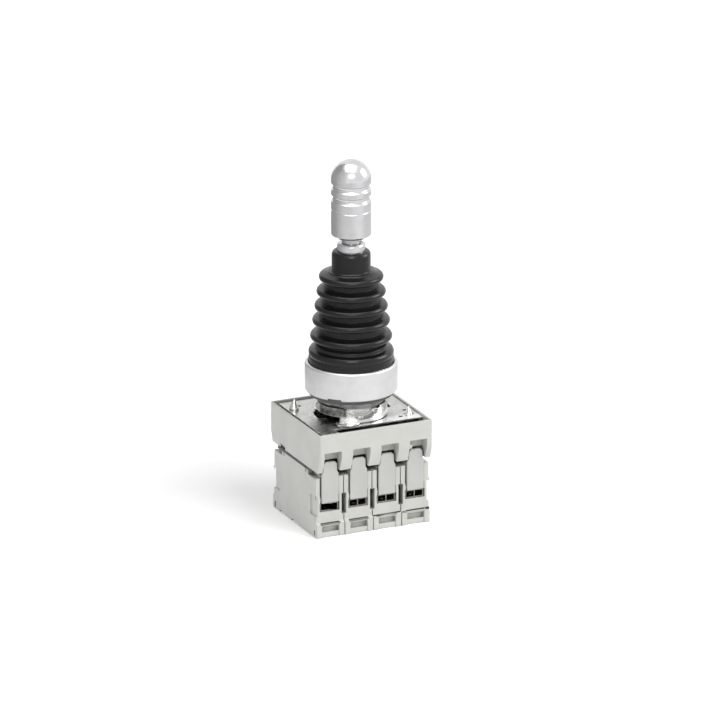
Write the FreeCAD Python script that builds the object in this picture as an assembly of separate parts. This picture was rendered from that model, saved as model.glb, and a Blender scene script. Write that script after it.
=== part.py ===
import FreeCAD, Part
import math
import os

# Panel joystick for a 22 mm hole: a ball-ended metal lever with a rubber bellows, a round bezel,
# a neck that passes through the panel, and a square frame behind the panel that carries four
# contact blocks. Millimetres, +Z along the lever, the origin under the middle of the blocks.
# The front, with the release latches and the wire windows, faces -Y.

V = FreeCAD.Vector
AXIS_X = V(1, 0, 0)
AXIS_Z = V(0, 0, 1)
CENTRE = V(0, 0, 0)

# Driving dimensions of the whole
NECK_R = 10.95
NECK_LOW_R = 10.4
BEZEL_R = 14.9
BLOCK_PITCH = 10.0
BLOCK_COUNT = 4
BLOCK_W = 9.9
FIT = 0.1
GAP = 0.3

# Heights up the axis
BLOCK_TOP_Z = 22.2
HEAD_TOP_Z = 26.2
WEB_Z = (31.9, 33.5)
PLATE_TOP_Z = 34.8
RIM_Z = 35.3
MOUTH_TOP_Z = 36.7
SHOULDER_Z = 39.2
GASKET_Z = (41.6, 43.4)
BEZEL_Z = (43.0, 52.4)
BEZEL_NOTCH = (-145.3, -127.1)
PIVOT_Z = 47.0
SEAT_Z = (51.0, 52.0)
CUFF_TOP_Z = 89.5
NUT_TOP_Z = 92.0
KNOB_Z = 94.3
KNOB_TOP_Z = 119.6

# Lever
KNOB_R = 6.4
SHAFT_R = 3.0
STUD_R = 2.5
NUT_R = 4.5
HUB_R = 4.2
PIN_R = 1.2
CAM_R = 7.2
CAM_T = 1.6
CAM_Z = PIVOT_Z - 6.0
STEM_RING_R = 6.2
STEM_R = 1.3
STEM_PLAY = 0.65
ARM_Z = (28.4, 29.9)

# Operator
BORE_R = 9.7
FLANGE_R = 14.2
GIMBAL_R = 7.8
GIMBAL_IN_R = 6.0
GIMBAL_H = 3.2

# Frame
FRAME_X = 19.9
FRAME_Y = 19.1
FRAME_WALL = 1.8
RIM_WALL = 0.8
SLOT_W = 6.0
SLOT_TOP_Z = 29.1
RAIL_Y = (13.9, 15.25)
RAIL_Z = (22.45, 23.7)

# Plate in the mouth of the frame, and the open mouth beside the neck, in degrees round the axis
PLATE_X = (-17.8, 18.95)
PLATE_Y = (-13.6, 17.2)
PLATE_T = 0.5
MOUTH_R = 12.1
MOUTH_TURN = (152, 226)

# Clamp screws
CLAMP_XY = [(-15.6, 9.8), (16.0, -9.2)]
CLAMP_R = 1.6
CLAMP_Z = (29.8, 35.2, 38.4)

# Contact block, its own middle at x = 0
FRONT_LOW = 17.1
FRONT_MID = 16.3
FRONT_TOP = 16.0
WINDOW_Z = (8.5, 11.4)
WINDOW_W = 6.9
CHAMBER_Z = (9.0, 21.3)
CHAMBER_Y = 8.0
SCREW_Y = 12.5
LATCH_PIVOT_Y = -15.75
LATCH_PIVOT_Z = 12.6
LATCH_FACE_Y = -16.8
LATCH_TOP_Z = 25.3
LATCH_ROOM_Y = 15.2

BLOCK_X = [(i - (BLOCK_COUNT - 1) / 2) * BLOCK_PITCH for i in range(BLOCK_COUNT)]
SIDES = ["west", "north", "south", "east"]
STEM_XY = {
    "west": (-STEM_RING_R, 0.0),
    "north": (0.0, STEM_RING_R),
    "south": (0.0, -STEM_RING_R),
    "east": (STEM_RING_R, 0.0),
}
FOOT_XY = {
    "west": (BLOCK_X[0], 0.0),
    "north": (BLOCK_X[1], 3.3),
    "south": (BLOCK_X[2], -3.3),
    "east": (BLOCK_X[3], 0.0),
}


def block(x, y, z):
    """Square-cornered block between pairs of limits."""
    return Part.makeBox(x[1] - x[0], y[1] - y[0], z[1] - z[0], V(x[0], y[0], z[0]))


def both(half):
    """Limits the same distance each side of the middle."""
    return (-half, half)


def rod(radius, z, x=0.0, y=0.0):
    """Upright round bar between two heights."""
    return Part.makeCylinder(radius, z[1] - z[0], V(x, y, z[0]))


def cross_rod(radius, x, y, z):
    """Round bar along X."""
    return Part.makeCylinder(radius, x[1] - x[0], V(x[0], y, z), AXIS_X)


def tube(outer, inner, z):
    """Upright round tube."""
    return rod(outer, z).cut(rod(inner, z))


def turned(points):
    """Body turned about Z from a closed outline of (radius, height) points."""
    outline = Part.makePolygon([V(r, 0, z) for r, z in points + points[:1]])
    return Part.Face(outline).revolve(CENTRE, AXIS_Z, 360)


def turned_curve(start, steps):
    """Body turned about Z from an outline of lines and arcs, which closes by itself.

    A step of one (radius, height) point is a line to it, and a step of two is an arc through the
    first to the second.
    """
    edges = []
    here = start
    for step in steps + [[start]]:
        points = [V(r, 0, z) for r, z in [here] + step]
        kind = Part.LineSegment if len(points) == 2 else Part.Arc
        edges.append(kind(*points).toShape())
        here = step[-1]
    return Part.Face(Part.Wire(edges)).revolve(CENTRE, AXIS_Z, 360)


def pressed(points, x):
    """Body of one section in the YZ plane, drawn out along X."""
    outline = Part.makePolygon([V(x[0], y, z) for y, z in points + points[:1]])
    return Part.Face(outline).extrude(V(x[1] - x[0], 0, 0))


def sheet(points, z):
    """Flat piece with an outline of (x, y) points, between two heights."""
    outline = Part.makePolygon([V(px, py, z[0]) for px, py in points + points[:1]])
    return Part.Face(outline).extrude(V(0, 0, z[1] - z[0]))


def polar(radius, degrees):
    """Point at a radius and an angle round the axis."""
    turn = math.radians(degrees)
    return (radius * math.cos(turn), radius * math.sin(turn))


def carried(points, start, stop):
    """Body of one section of (radius, height) points, carried round the axis between two angles."""
    outline = Part.makePolygon([V(r, 0, z) for r, z in points + points[:1]])
    body = Part.Face(outline).revolve(CENTRE, AXIS_Z, stop - start)
    body.rotate(CENTRE, AXIS_Z, start)
    return body


def sector(inner, outer, start, stop, z):
    """Part of a square-edged ring between two angles."""
    return carried([(inner, z[0]), (outer, z[0]), (outer, z[1]), (inner, z[1])], start, stop)


def edges_along(shape, axis, test):
    """Straight edges parallel to an axis whose middle passes a test."""
    found = []
    for edge in shape.Edges:
        if edge.Curve.TypeId != "Part::GeomLine":
            continue
        along = edge.tangentAt(edge.FirstParameter).cross(axis).Length < 1e-6
        if along and test(edge.CenterOfMass):
            found.append(edge)
    return found


def coil(radius_low, radius_high, z, turns, wire, sides):
    """Wire wound up the axis, straight or conical, with a regular many-sided section."""
    height = z[1] - z[0]
    cone = math.degrees(math.atan2(radius_high - radius_low, height))
    path = Part.makeHelix(height / turns, height, radius_low, cone)
    corners = []
    for number in range(sides + 1):
        turn = 2 * math.pi * number / sides
        corners.append(V(radius_low + wire * math.cos(turn), 0, wire * math.sin(turn)))
    section = Part.makePolygon(corners)
    body = Part.Wire(path).makePipeShell([section], True, True)
    body.translate(V(0, 0, z[0]))
    return body


def knob():
    """Turned metal knob: round top, two gripping grooves, a fine line, blind bore for the stud."""
    dome_z = KNOB_TOP_Z - KNOB_R
    edge = 1.0
    slope = math.sqrt(0.5)
    body = turned_curve((0, KNOB_Z), [
        [(KNOB_R - edge, KNOB_Z)],
        [(KNOB_R - edge + edge * slope, KNOB_Z + edge - edge * slope), (KNOB_R, KNOB_Z + edge)],
        [(KNOB_R, dome_z)],
        [(KNOB_R * slope, dome_z + KNOB_R * slope), (0, KNOB_TOP_Z)],
    ])
    groove_r = 1.25
    groove_middle_r = KNOB_R + 0.6
    for below_top in (8.7, 12.5):
        body = body.cut(Part.makeTorus(groove_middle_r, groove_r, V(0, 0, KNOB_TOP_Z - below_top)))
    line_z = KNOB_Z + 8.8
    line = 0.3
    outside = KNOB_R + line
    fine_line = turned([(KNOB_R - line, line_z), (outside, line_z - line), (outside, line_z + line)])
    bore_depth = 13.0
    return body.cut(fine_line).cut(rod(STUD_R, (KNOB_Z, KNOB_Z + bore_depth)))


def lever_nut():
    """Chrome collar nut that clamps the top of the bellows to the shaft."""
    low = CUFF_TOP_Z - 5.0
    chamfer = 0.6
    return turned([
        (SHAFT_R, low),
        (NUT_R - chamfer, low),
        (NUT_R, low + chamfer),
        (NUT_R, NUT_TOP_Z - chamfer),
        (NUT_R - chamfer, NUT_TOP_Z),
        (SHAFT_R + 0.4, NUT_TOP_Z),
        (SHAFT_R + 0.4, NUT_TOP_Z - 0.4),
        (SHAFT_R, NUT_TOP_Z - 0.4),
    ])


def lever_shaft():
    """Lever: stud for the knob, shaft, pivot hub with a cross hole, and a thinner lower end."""
    hub_low = PIVOT_Z - 2.6
    hub_high = PIVOT_Z + 2.6
    lower_r = 2.0
    body = turned([
        (0, CAM_Z - 1.6),
        (lower_r - 0.3, CAM_Z - 1.6),
        (lower_r, CAM_Z - 1.3),
        (lower_r, CAM_Z + CAM_T),
        (SHAFT_R, CAM_Z + CAM_T),
        (SHAFT_R, hub_low),
        (HUB_R - 0.6, hub_low),
        (HUB_R, hub_low + 0.6),
        (HUB_R, hub_high - 0.6),
        (HUB_R - 0.6, hub_high),
        (SHAFT_R, hub_high),
        (SHAFT_R, KNOB_Z),
        (STUD_R, KNOB_Z),
        (STUD_R, KNOB_Z + 11.5),
        (STUD_R - 0.5, KNOB_Z + 12.0),
        (0, KNOB_Z + 12.0),
    ])
    hole = Part.makeCylinder(PIN_R, 4 * HUB_R, V(0, -2 * HUB_R, PIVOT_Z), V(0, 1, 0))
    return body.cut(hole)


def pivot_pin():
    """Pin pressed through the hub, which swings in the gimbal ring."""
    half = GIMBAL_R - 0.5
    return Part.makeCylinder(PIN_R, 2 * half, V(0, -half, PIVOT_Z), V(0, 1, 0))


def cam_plate():
    """Round plate on the lever's lower end that presses the four push rods."""
    edge = 0.5
    return turned([
        (2.0, CAM_Z),
        (CAM_R - edge, CAM_Z),
        (CAM_R, CAM_Z + edge),
        (CAM_R, CAM_Z + CAM_T - edge / 2),
        (CAM_R - edge / 2, CAM_Z + CAM_T),
        (2.0, CAM_Z + CAM_T),
    ])


def cam_washer():
    """Riveted washer that holds the cam plate on the shaft."""
    return turned([(2.0, CAM_Z - 0.9), (2.9, CAM_Z - 0.9), (3.0, CAM_Z - 0.7), (3.0, CAM_Z), (2.0, CAM_Z)])


def gimbal_ring():
    """Ring that swings in the operator on two trunnions and carries the lever's pin."""
    z = (PIVOT_Z - GIMBAL_H / 2, PIVOT_Z + GIMBAL_H / 2)
    body = tube(GIMBAL_R, GIMBAL_IN_R, z)
    trunnion_reach = BORE_R + 2.6
    trunnions = cross_rod(PIN_R, both(trunnion_reach), 0, PIVOT_Z).cut(rod(GIMBAL_IN_R, z))
    body = body.fuse(trunnions).removeSplitter()
    pin_hole_r = PIN_R + FIT / 2
    hole = Part.makeCylinder(pin_hole_r, 4 * GIMBAL_R, V(0, -2 * GIMBAL_R, PIVOT_Z), V(0, 1, 0))
    return body.cut(hole)


def operator_body():
    """Metal operator: a flange that stands on the panel and a neck that passes through it.

    Under its shoulder the neck is turned down for the lock ring, and its foot is open to one side.
    """
    relief = 0.2
    body = turned([
        (BORE_R, WEB_Z[1]),
        (NECK_LOW_R - relief, WEB_Z[1]),
        (NECK_LOW_R, WEB_Z[1] + relief),
        (NECK_LOW_R, SHOULDER_Z - relief),
        (NECK_R, SHOULDER_Z + relief),
        (NECK_R, GASKET_Z[1]),
        (FLANGE_R, GASKET_Z[1]),
        (FLANGE_R, SEAT_Z[0]),
        (BORE_R, SEAT_Z[0]),
    ])
    bearing = cross_rod(PIN_R + FIT / 2, both(FLANGE_R + 1), 0, PIVOT_Z)
    mouth = sector(BORE_R - 1, NECK_R, *MOUTH_TURN, (WEB_Z[1], MOUTH_TOP_Z))
    key_w = 4.2
    key_turn = -142
    key_z = (GASKET_Z[0] - 1.1, GASKET_Z[1])
    key = block((NECK_R - 0.6, NECK_R + 0.75), both(key_w / 2), key_z)
    key.rotate(CENTRE, AXIS_Z, key_turn)
    return body.cut(bearing).cut(mouth).fuse(key).removeSplitter()


def bezel_ring():
    """Satin metal ring over the flange, with a raised rim round the bellows' foot and a notch below."""
    wall_in = FLANGE_R + 0.05
    lip_in = 13.8
    low, high = BEZEL_Z
    notch = sector(wall_in - 1, BEZEL_R + 1, *BEZEL_NOTCH, (low - 1, low + 0.65))
    body = turned([
        (wall_in, low),
        (BEZEL_R - 0.3, low),
        (BEZEL_R, low + 0.3),
        (BEZEL_R, high - 0.7),
        (BEZEL_R - 0.15, high - 0.25),
        (BEZEL_R - 0.5, high),
        (lip_in + 0.15, high),
        (lip_in, high - 0.2),
        (lip_in, SEAT_Z[0]),
        (wall_in, SEAT_Z[0]),
    ])
    return body.cut(notch)


def panel_gasket():
    """Rubber seal between the flange and the panel, with a bevelled lower edge."""
    key_clear_r = 12.0
    outer_r = 13.95
    bevel = 0.55
    return turned([
        (key_clear_r, GASKET_Z[0]),
        (outer_r - bevel, GASKET_Z[0]),
        (outer_r, GASKET_Z[0] + bevel),
        (outer_r, GASKET_Z[1]),
        (key_clear_r, GASKET_Z[1]),
    ])


def bellows():
    """Moulded rubber bellows: round-edged discs with wide grooves between a cuff and a foot."""
    wall = 0.9
    depth = 2.7
    rim = 1.15
    upper_slope = 0.55
    lower_slope = 0.35
    cuff_r = 6.25
    cuff_in = NUT_R + 0.05
    foot_r = 13.65
    foot_in = 12.4
    foot_z = 56.9
    edge = 1.0
    crests = [(10.35, 80.7), (11.1, 75.8), (11.75, 70.9), (12.45, 66.1), (13.15, 60.9)]
    roots = [crests[0][0] - depth]
    for upper, lower in zip(crests, crests[1:]):
        roots.append((upper[0] + lower[0]) / 2 - depth)
    roots.append(crests[-1][0] - depth)

    steps = [[(cuff_in, CUFF_TOP_Z)], [(cuff_r - edge, CUFF_TOP_Z)]]
    steps.append([(cuff_r - 0.3 * edge, CUFF_TOP_Z - 0.3 * edge), (cuff_r, CUFF_TOP_Z - edge)])
    steps.append([(cuff_r, crests[0][1] + rim + 2 * upper_slope)])
    for (crest_r, crest_z), above, below in zip(crests, roots, roots[1:]):
        steps.append([(above, crest_z + rim + upper_slope)])
        steps.append([(crest_r - rim, crest_z + rim)])
        steps.append([(crest_r, crest_z), (crest_r - rim, crest_z - rim)])
        steps.append([(below, crest_z - rim - lower_slope)])
        if crest_z != crests[-1][1]:
            steps.append([(below, crest_z - rim - 4 * lower_slope)])
    steps.append([(foot_r - 0.5, foot_z - 0.3), (foot_r, foot_z - 1.6)])
    steps += [[(foot_r, SEAT_Z[0])], [(foot_in, SEAT_Z[0])], [(foot_in, foot_z - 2.2)]]
    steps.append([(roots[-1] - wall, foot_z - 0.6)])
    for (crest_r, crest_z), above, below in reversed(list(zip(crests, roots, roots[1:]))):
        fold = rim + upper_slope - wall
        tip = fold / 3
        steps += [[(below - wall, crest_z - fold)], [(crest_r - 1.5 * wall, crest_z - tip)]]
        steps += [[(crest_r - 1.5 * wall, crest_z + tip)], [(above - wall, crest_z + fold)]]
    return turned_curve((cuff_in, crests[0][1] + 2 * wall), steps)


def bellows_retainer():
    """Disc on the operator that holds the bellows' foot out and seats the return spring."""
    swing_r = 5.5
    dish = 0.25
    return turned([
        (swing_r, SEAT_Z[0]),
        (12.35, SEAT_Z[0]),
        (12.35, SEAT_Z[1]),
        (8.0, SEAT_Z[1]),
        (7.8, SEAT_Z[1] - dish),
        (swing_r, SEAT_Z[1] - dish),
    ])


def return_spring():
    """Conical spring between the retainer and the cap, which brings the lever upright."""
    wire = 0.5
    return coil(6.8, 4.7, (SEAT_Z[1] - 0.25 + wire, 79.0 - wire), 6, wire, 6)


def spring_cap():
    """Cup on the shaft over the upper end of the return spring."""
    top = 80.2
    return turned([
        (SHAFT_R, top - 2.2),
        (3.9, top - 2.2),
        (3.9, top - 1.2),
        (5.6, top - 1.2),
        (5.9, top - 0.9),
        (5.9, top - 0.3),
        (5.6, top),
        (SHAFT_R, top),
    ])


def lock_ring():
    """Turning ring on the neck: a thin wall with cheeks, a scalloped front and a thumb tongue."""
    inner = NECK_LOW_R + 0.25
    outer = inner + 0.5
    base_r = 11.9
    cheek_r = 11.6
    clear_r = NECK_R + 0.25
    low = WEB_Z[1] + GAP
    base_z = (PLATE_TOP_Z + GAP, PLATE_TOP_Z + 0.85)
    top = SHOULDER_Z - GAP
    body = turned([
        (inner, low),
        (outer, low),
        (outer, base_z[0]),
        (base_r, base_z[0]),
        (base_r, base_z[1] - 0.1),
        (base_r - 0.1, base_z[1]),
        (outer, base_z[1]),
        (outer, top),
        (inner + 0.15, top),
        (inner, top - 0.15),
    ])
    cheek_low = 36.2
    cheeks = []
    for start, stop, high in [(-180, -122, 39.6), (-62, -40, 39.5), (-40, -12, 40.3)]:
        cheeks.append(
            carried(
                [
                    (inner + 0.2, cheek_low),
                    (outer, cheek_low),
                    (cheek_r, cheek_low + 0.4),
                    (cheek_r, high),
                    (clear_r, high),
                    (clear_r, top),
                    (inner + 0.2, top),
                ],
                start,
                stop,
            )
        )
    for start, stop in [(-192, -180), (-74, -62)]:
        cheeks.append(sector(inner + 0.2, cheek_r + 0.1, start, stop, (cheek_low + 0.8, top)))
    tongue = sheet(
        [
            polar(11.0, -134),
            polar(13.6, -136),
            polar(16.0, -130),
            polar(16.4, -122),
            polar(16.2, -114.5),
            polar(13.4, -104),
            polar(11.0, -97),
        ],
        base_z,
    )
    tongue_slot = block((13.6, 14.5), both(1.1), (base_z[0] - 1, base_z[1] + 1))
    tongue_slot.rotate(CENTRE, AXIS_Z, -125)
    body = body.fuse(cheeks + [tongue.cut(rod(inner + 0.2, base_z))])

    scallop_r = 6.75
    scallop_z = 37.0
    scallop_turn = -101
    along = V(*polar(1, scallop_turn), 0)
    middle = V(0, 0, scallop_z + scallop_r)
    scallop = Part.makeCylinder(scallop_r, cheek_r + 1, middle, along)
    mouth = sector(inner - 1, base_r + 1, *MOUTH_TURN, (low - 1, MOUTH_TOP_Z))
    return body.cut(scallop).cut(mouth).cut(tongue_slot).removeSplitter()


def adapter_plate():
    """Pressed steel plate in the mouth of the frame: a thin sheet round the neck, on pressed ribs."""
    z = (PLATE_TOP_Z - PLATE_T, PLATE_TOP_Z)
    left, right = PLATE_X
    front, back = PLATE_Y
    tab_y = -17.0
    tab_x = -12.0
    outline = [
        (left, tab_y),
        (tab_x, tab_y),
        (tab_x, front),
        (right, front),
        (right, back),
        (left, back),
    ]
    body = sheet(outline, z)
    rib = 1.0
    inset = 1.2
    ribs = [
        ((left + inset, left + inset + rib), (-9.0, 6.0)),
        ((right - inset - rib, right - inset), (-4.0, 13.0)),
        ((-10.0, 12.0), (back - inset - rib, back - inset)),
        ((-16.0, -13.5), (tab_y + inset, tab_y + inset + rib)),
    ]
    for rib_x, rib_y in ribs:
        body = body.fuse(block(rib_x, rib_y, (WEB_Z[1], PLATE_TOP_Z)))
    body = body.removeSplitter()
    body = body.cut(rod(NECK_R + 0.65, z))
    body = body.cut(sector(NECK_R, MOUTH_R, *MOUTH_TURN, z))
    body = body.cut(sheet([(14.2, 4.2), (13.7, -0.6), (11.0, -0.9), (11.0, 3.0)], z))
    hole = 0.7
    for hole_x, hole_y in [(-12.9, 12.4), (12.6, -10.4), (16.4, -5.2)]:
        body = body.cut(block((hole_x - hole, hole_x + hole), (hole_y - hole, hole_y + hole), z))
    for screw_x, screw_y in CLAMP_XY:
        body = body.cut(rod(CLAMP_R, z, screw_x, screw_y))
    return body


def clamp_screws():
    """Two set screws whose cone tips bear on the back of the panel."""
    low, cone_z, tip_z = CLAMP_Z
    screws = []
    for x, y in CLAMP_XY:
        shank = rod(CLAMP_R, (low, cone_z), x, y)
        tip = Part.makeCone(CLAMP_R, 0.15, tip_z - cone_z, V(x, y, cone_z))
        slot = block((x - 2, x + 2), (y - 0.25, y + 0.25), (low, low + 1.0))
        screws.append(shank.fuse(tip).removeSplitter().cut(slot))
    return Part.makeCompound(screws)


def frame_fingers_outline():
    """Outside section of the frame in the YZ plane, with both lower corners cut back."""
    return [
        (-FRAME_Y, RIM_Z),
        (-FRAME_Y, 27.0),
        (-17.5, BLOCK_TOP_Z),
        (17.5, BLOCK_TOP_Z),
        (FRAME_Y, 27.0),
        (FRAME_Y, RIM_Z),
    ]


def collar():
    """Moulded square frame: walls, web with the push rod guides, and slotted fingers with rails."""
    inner_x = FRAME_X - FRAME_WALL
    inner_y = FRAME_Y - FRAME_WALL
    slot_back_y = 14.4
    slot_back_z = 25.6
    body = pressed(frame_fingers_outline(), both(FRAME_X))
    corner_r = 0.8
    upright = edges_along(body, AXIS_Z, lambda c: abs(abs(c.y) - FRAME_Y) < 0.01)
    body = body.makeFillet(corner_r, upright)
    body = body.cut(block(both(FRAME_X - RIM_WALL), both(FRAME_Y - RIM_WALL), (WEB_Z[1], RIM_Z + 1)))
    web_front = block((-12.0, inner_x), (-inner_y, PLATE_Y[0] + 0.2), WEB_Z)
    web_mouth = sector(STEM_RING_R + STEM_R + 0.6, MOUTH_R, *MOUTH_TURN, WEB_Z)
    body = body.cut(web_front).cut(web_mouth)
    under_web = pressed(
        [
            (-slot_back_y, WEB_Z[0]),
            (-slot_back_y, slot_back_z),
            (-RAIL_Y[1], slot_back_z),
            (-RAIL_Y[1], RAIL_Z[1]),
            (-RAIL_Y[0], RAIL_Z[1]),
            (-RAIL_Y[0], BLOCK_TOP_Z - 1),
            (RAIL_Y[0], BLOCK_TOP_Z - 1),
            (RAIL_Y[0], RAIL_Z[1]),
            (RAIL_Y[1], RAIL_Z[1]),
            (RAIL_Y[1], slot_back_z),
            (slot_back_y, slot_back_z),
            (slot_back_y, WEB_Z[0]),
        ],
        both(inner_x),
    )
    body = body.cut(under_web)
    low = BLOCK_TOP_Z - 1
    for middle in BLOCK_X:
        slot_x = (middle - SLOT_W / 2, middle + SLOT_W / 2)
        for face in (-1, 1):
            near = face * RAIL_Y[1]
            far = face * (FRAME_Y + 1)
            body = body.cut(block(slot_x, (min(near, far), max(near, far)), (low, SLOT_TOP_Z)))
    body = body.cut(block(both(inner_x), both(RAIL_Y[1]), (low, RAIL_Z[0])))
    dash_y = (7.6, 11.4)
    dash_z = (BLOCK_TOP_Z, 23.4)
    for side in (-1, 1):
        outside = (min(side * (FRAME_X - 0.8), side * 21), max(side * (FRAME_X - 0.8), side * 21))
        body = body.cut(block(outside, dash_y, dash_z))
    for x, y in STEM_XY.values():
        body = body.cut(rod(STEM_R + FIT, WEB_Z, x, y))
    for x, y in CLAMP_XY:
        body = body.cut(rod(CLAMP_R, WEB_Z, x, y))
    key_x = BLOCK_X[3] - SLOT_W / 2
    key_y = (-18.8, -17.4)
    key_z = (26.4, 27.7)
    key_points = [(-0.5, key_y[0]), (0.9, key_y[0]), (0.3, key_y[1]), (-0.5, key_y[1])]
    key = sheet([(key_x + x, y) for x, y in key_points], key_z)
    return body.fuse(key).removeSplitter()


def pusher(side):
    """Push rod under the cam plate, with an arm to the plunger of its contact block."""
    stem_x, stem_y = STEM_XY[side]
    foot_x, foot_y = FOOT_XY[side]
    top = CAM_Z - STEM_PLAY
    point = 0.9
    stem = rod(STEM_R, (ARM_Z[0], top - point), stem_x, stem_y)
    cap = Part.makeCone(STEM_R, 0.3, point, V(stem_x, stem_y, top - point))
    length = math.hypot(foot_x - stem_x, foot_y - stem_y)
    side_x = (foot_y - stem_y) / length * STEM_R
    side_y = -(foot_x - stem_x) / length * STEM_R
    arm = sheet(
        [
            (stem_x + side_x, stem_y + side_y),
            (foot_x + side_x, foot_y + side_y),
            (foot_x - side_x, foot_y - side_y),
            (stem_x - side_x, stem_y - side_y),
        ],
        ARM_Z,
    )
    foot = rod(STEM_R, ARM_Z, foot_x, foot_y)
    return stem.fuse([cap, arm, foot]).removeSplitter()


def case_outline():
    """Side section of a contact block, the same to the front and the back."""
    half = [
        (FRONT_LOW, 0),
        (FRONT_LOW, 4.4),
        (FRONT_MID, 5.0),
        (FRONT_MID, 13.6),
        (FRONT_TOP, 14.2),
        (FRONT_TOP, 20.4),
        (13.4, CHAMBER_Z[1]),
    ]
    return [(-y, z) for y, z in half] + [(y, z) for y, z in reversed(half)]


def case_front_cuts(face):
    """Openings and recesses in one end face of a block: -1 is the front and 1 the back."""
    def span(near, far):
        return (min(face * near, face * far), max(face * near, face * far))

    half_w = BLOCK_W / 2
    outside = FRONT_LOW + 1
    window_x = both(WINDOW_W / 2)
    slit_x = both(3.3)
    foot_x = both(3.0)
    cuts = [
        block(window_x, span(CHAMBER_Y + 0.8, outside), WINDOW_Z),
        block(slit_x, span(FRONT_LOW - 2.5, outside), (4.45, 4.95)),
        block(foot_x, span(FRONT_LOW - 1.75, outside), (1.75, 3.7)),
        block(foot_x, span(FRONT_LOW - 0.35, outside), (-1, 4.4)),
    ]
    for side in (-1, 1):
        def edge(near):
            return (min(side * near, side * 6), max(side * near, side * 6))

        cuts.append(block(edge(4.22), span(FRONT_MID - 4.5, outside), (7.0, 13.9)))
        cuts.append(block(edge(2.95), span(10.0, outside), (19.9, CHAMBER_Z[1])))
        cuts.append(block(edge(half_w - 0.7), span(14.7, 15.8), (0.5, 2.4)))
        cuts.append(block(edge(half_w - 0.7), span(8.1, 8.9), (20.0, CHAMBER_Z[1])))
    return cuts


def contact_case(number):
    """Moulded case of a contact block, with wire windows, screw wells and a chamber."""
    body = pressed(case_outline(), both(BLOCK_W / 2))
    upright = edges_along(body, AXIS_Z, lambda c: abs(c.x) > 1 and c.z < 21)
    body = body.makeChamfer(0.2, upright)
    for face in (-1, 1):
        body = body.cut(Part.makeCompound(case_front_cuts(face)))
        well_y = face * SCREW_Y
        body = body.cut(rod(2.6, (0, 3.2), 0, well_y)).cut(rod(1.5, (3.2, WINDOW_Z[0]), 0, well_y))
        strip = (min(face * 5, face * 15), max(face * 5, face * 15))
        body = body.cut(block(both(1.7), strip, (11.3, 12.1)))
    recess_y = (-FRONT_MID - 1, LATCH_PIVOT_Y + 0.95)
    body = body.cut(block(both(3.25), recess_y, (WINDOW_Z[1] - 0.1, 14.3)))
    latch_room_y = (-FRONT_MID - 1, -LATCH_ROOM_Y)
    body = body.cut(block(both(3.25), latch_room_y, (14.3, BLOCK_TOP_Z)))
    body = body.cut(cross_rod(0.5, both(3.8), LATCH_PIVOT_Y, LATCH_PIVOT_Z))
    body = body.cut(block(both(3.4), both(CHAMBER_Y), CHAMBER_Z))
    body = body.cut(block(both(6), (-2.6, 2.4), (0, 0.6)))
    body = body.cut(block(both(6), (7.6, 11.8), (0, 0.6)).cut(rod(3.2, (0, 1), 0, SCREW_Y)))
    hook = pressed(
        [
            (FRONT_TOP - 0.4, 12.4),
            (FRONT_MID + 0.5, 13.4),
            (FRONT_MID + 0.5, LATCH_TOP_Z - 0.5),
            (FRONT_MID, LATCH_TOP_Z),
            (14.6, RAIL_Z[1] + 1.1),
            (14.6, RAIL_Z[1] + 0.1),
            (FRONT_MID - 0.6, RAIL_Z[1] + 0.1),
            (FRONT_MID - 0.6, 14.3),
            (FRONT_TOP - 0.4, 13.8),
        ],
        both(2.45),
    )
    body = body.fuse(hook).removeSplitter()
    body.translate(V(BLOCK_X[number], 0, 0))
    return body


def contact_cover(number):
    """Cover of a contact block: a shoulder plate and a narrow head that guides the plunger."""
    foot_x, foot_y = FOOT_XY[SIDES[number]]
    middle = BLOCK_X[number]
    half_w = BLOCK_W / 2
    plate = pressed(
        [(-13.4, CHAMBER_Z[1]), (-13.0, BLOCK_TOP_Z), (13.0, BLOCK_TOP_Z), (13.4, CHAMBER_Z[1])],
        (middle - half_w, middle + half_w),
    )
    head = pressed(
        [
            (-10.8, BLOCK_TOP_Z),
            (-10.4, HEAD_TOP_Z - 0.8),
            (-9.6, HEAD_TOP_Z),
            (9.6, HEAD_TOP_Z),
            (10.4, HEAD_TOP_Z - 0.8),
            (10.8, BLOCK_TOP_Z),
        ],
        (middle - 3.1, middle + 3.1),
    )
    body = plate.fuse(head).removeSplitter()
    body = body.cut(rod(STEM_R + FIT, (CHAMBER_Z[1], HEAD_TOP_Z), foot_x, foot_y))
    notch_x = (middle - half_w, middle + half_w)
    for side in (0, 1):
        edge = (notch_x[side] - 0.7, notch_x[side] + 0.7)
        body = body.cut(block(edge, (-8.9, -8.1), (CHAMBER_Z[1], BLOCK_TOP_Z)))
    return body


def plunger(number):
    """Plunger of a contact block: a button under the push rod's arm and a carrier over the bridge."""
    foot_x, foot_y = FOOT_XY[SIDES[number]]
    middle = BLOCK_X[number]
    carrier_z = (17.2, 19.2)
    button = rod(STEM_R, (carrier_z[1], ARM_Z[0]), foot_x, foot_y)
    carrier = block((middle - 1.6, middle + 1.6), both(4.9), carrier_z)
    leg = rod(STEM_R, (15.6, carrier_z[0]), middle, 0)
    return button.fuse([carrier, leg]).removeSplitter()


def contact_bridge(number):
    """Moving contact bar with two silver tips."""
    middle = BLOCK_X[number]
    bar = block((middle - 1.5, middle + 1.5), both(7.4), (15.1, 15.6))
    tips = [rod(0.9, (14.95, 15.1), middle, y) for y in (-6.3, 6.3)]
    return bar.fuse(tips).removeSplitter()


def block_spring(number):
    """Spring under the bridge that lifts the plunger."""
    wire = 0.22
    body = coil(1.5, 1.5, (CHAMBER_Z[0] + wire, 15.1 - wire), 4, wire, 4)
    body.translate(V(BLOCK_X[number], 0, 0))
    return body


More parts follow.
